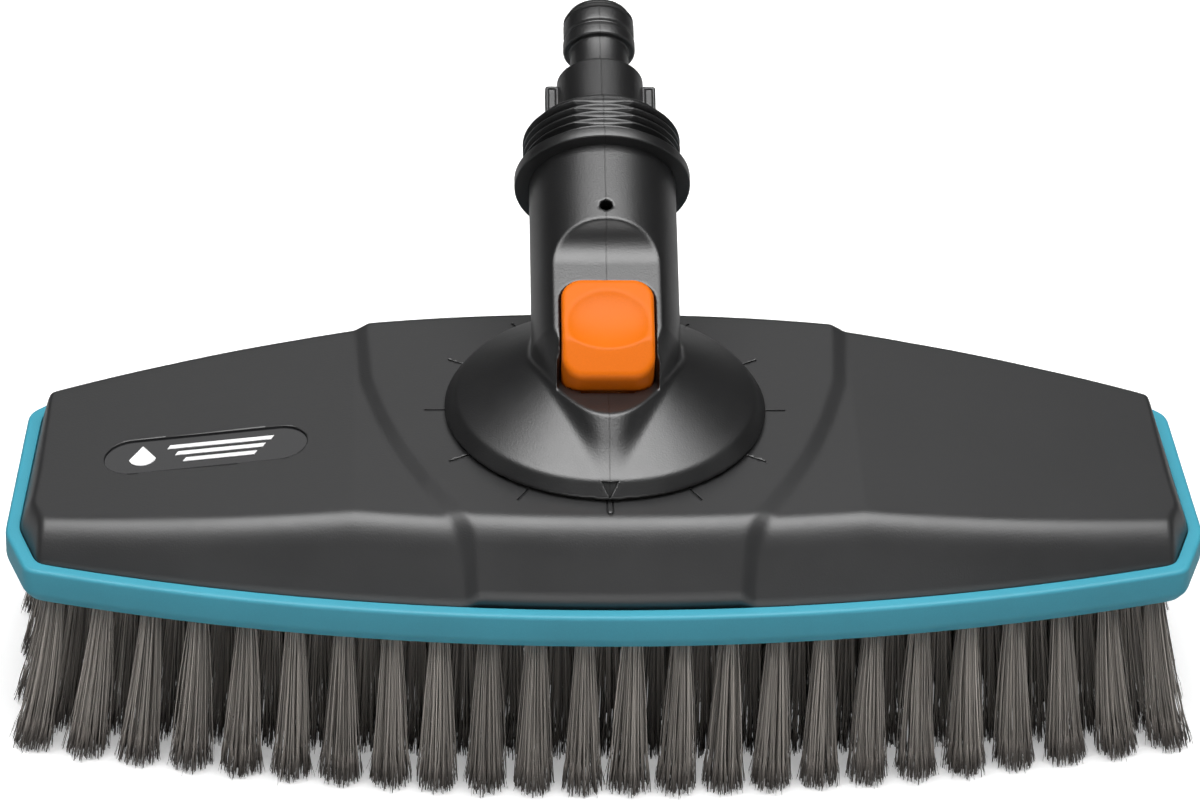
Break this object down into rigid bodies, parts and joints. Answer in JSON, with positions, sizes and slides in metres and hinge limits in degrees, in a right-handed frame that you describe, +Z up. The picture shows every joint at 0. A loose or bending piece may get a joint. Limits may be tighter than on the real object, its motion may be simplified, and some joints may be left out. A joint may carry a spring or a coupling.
{
  "type": "wash brush head",
  "caption": "Wide flow-through wash brush head: bristle bar with a turning, inclined neck, hose nipple and thumb release.",
  "frame": {"origin": "on the swivel axis, in the plane of the bristle tips", "axes": "+Z up from the bristle tips along the swivel axis, +X along the head, +Y towards the side the neck leans to"},
  "size_m": [0.29, 0.1593, 0.135],
  "materials": {
    "cover_plastic": "fine satin grain",
    "neck_black": "semi-gloss, fine grain",
    "badge_black": "smooth",
    "emblem_white": "printed",
    "bumper_teal": "soft satin",
    "plate_black": "matt",
    "inner_plastic": "matt",
    "washer_plastic": "natural acetal",
    "seal_rubber": "smooth",
    "screw_steel": "bright",
    "spring_steel": "drawn wire",
    "button_orange": "satin",
    "bristle": "soft flagged filament"
  },
  "bodies": {
    "brush_head": {"top_cover": "cover_plastic", "badge_plate": "badge_black", "badge_emblem": "emblem_white", "bumper_frame": "bumper_teal", "brush_plate": "plate_black", "tuft_row_1": "bristle", "tuft_row_2": "bristle", "tuft_row_3": "bristle", "tuft_row_4": "bristle", "tuft_row_5": "bristle", "tuft_row_6": "bristle", "tuft_row_7": "bristle", "tuft_row_8": "bristle", "carrying_tufts": "bristle", "plate_screws": "screw_steel", "water_distributor": "inner_plastic", "distributor_gasket": "seal_rubber", "detent_ring": "inner_plastic", "swivel_washer": "washer_plastic"},
    "swivel_neck": {"swivel_housing": "neck_black", "swivel_retainer": "inner_plastic", "retainer_screws": "screw_steel", "water_elbow": "inner_plastic", "spigot_seal": "seal_rubber", "hose_nipple": "neck_black", "nipple_seal": "seal_rubber", "nipple_seat_washer": "seal_rubber", "nipple_clip": "inner_plastic", "button_springs": "spring_steel"},
    "release_button": {"release_button": "button_orange", "lock_pawl": "washer_plastic"}
  },
  "joints": [
    {"name": "neck_swivel", "type": "hinge", "parent": "brush_head", "child": "swivel_neck", "pos_m": [0, 0, 0.0736], "axis": [0, 0, 1], "continuous": true},
    {"name": "button_press", "type": "slide", "parent": "swivel_neck", "child": "release_button", "axis": [0, 0.3746, -0.9272], "range_m": [0, 0.0035], "stiffness_N_per_m": 900, "springref_m": -0.003, "deforming": ["button_springs"]}
  ]
}
